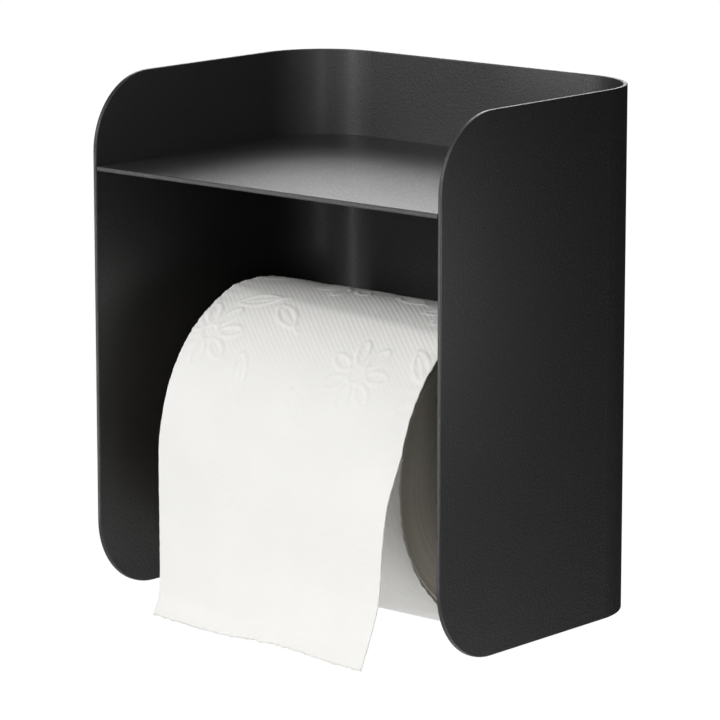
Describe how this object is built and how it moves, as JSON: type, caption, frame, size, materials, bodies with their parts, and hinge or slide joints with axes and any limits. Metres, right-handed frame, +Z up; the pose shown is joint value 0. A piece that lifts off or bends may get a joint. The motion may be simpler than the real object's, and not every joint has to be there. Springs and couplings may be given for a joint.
{
  "type": "toilet paper holder",
  "caption": "Wall-mounted toilet paper holder bent from black steel sheet, with a welded shelf above a paper roll on a sprung spindle.",
  "frame": {"origin": "midway between the two wall screw holes, on the housing's wall face", "axes": "+Y into the wall, +Z up, +X to the right seen from the front, open front towards -Y"},
  "size_m": [0.138, 0.1123, 0.165],
  "materials": {
    "powder_coat": "matt black powder coat with a fine texture",
    "plated_tube": "drawn steel tube, bright plated",
    "black_nylon": "moulded, slightly satin",
    "spring_wire": "cold-drawn spring wire",
    "core_board": "spiral-wound grey board",
    "tissue_paper": "soft embossed tissue"
  },
  "bodies": {
    "housing": {"housing": "powder_coat", "shelf": "powder_coat", "left_socket": "powder_coat", "right_socket": "powder_coat", "loose_sheet": "tissue_paper"},
    "spindle": {"spindle_tube": "plated_tube", "left_end_plug": "black_nylon", "spindle_spring": "spring_wire"},
    "plunger": {"plunger_tube": "plated_tube", "right_end_plug": "black_nylon"},
    "roll": {"roll_core": "core_board", "roll_paper": "tissue_paper"}
  },
  "joints": [
    {"name": "roll_spin", "type": "hinge", "parent": "housing", "child": "roll", "pos_m": [0, -0.051, -0.0265], "axis": [1, 0, 0], "continuous": true},
    {"name": "spindle_spin", "type": "hinge", "parent": "housing", "child": "spindle", "pos_m": [0, -0.051, -0.0188], "axis": [1, 0, 0], "continuous": true},
    {"name": "plunger_slide", "type": "slide", "parent": "spindle", "child": "plunger", "axis": [1, 0, 0], "range_m": [-0.008, 0], "stiffness_N_per_m": 250, "springref_m": 0.012, "deforming": ["spindle_spring"]}
  ],
  "couplings": [
    {"joint": "spindle_spin", "follows": "roll_spin", "ratio": 1.6667}
  ]
}
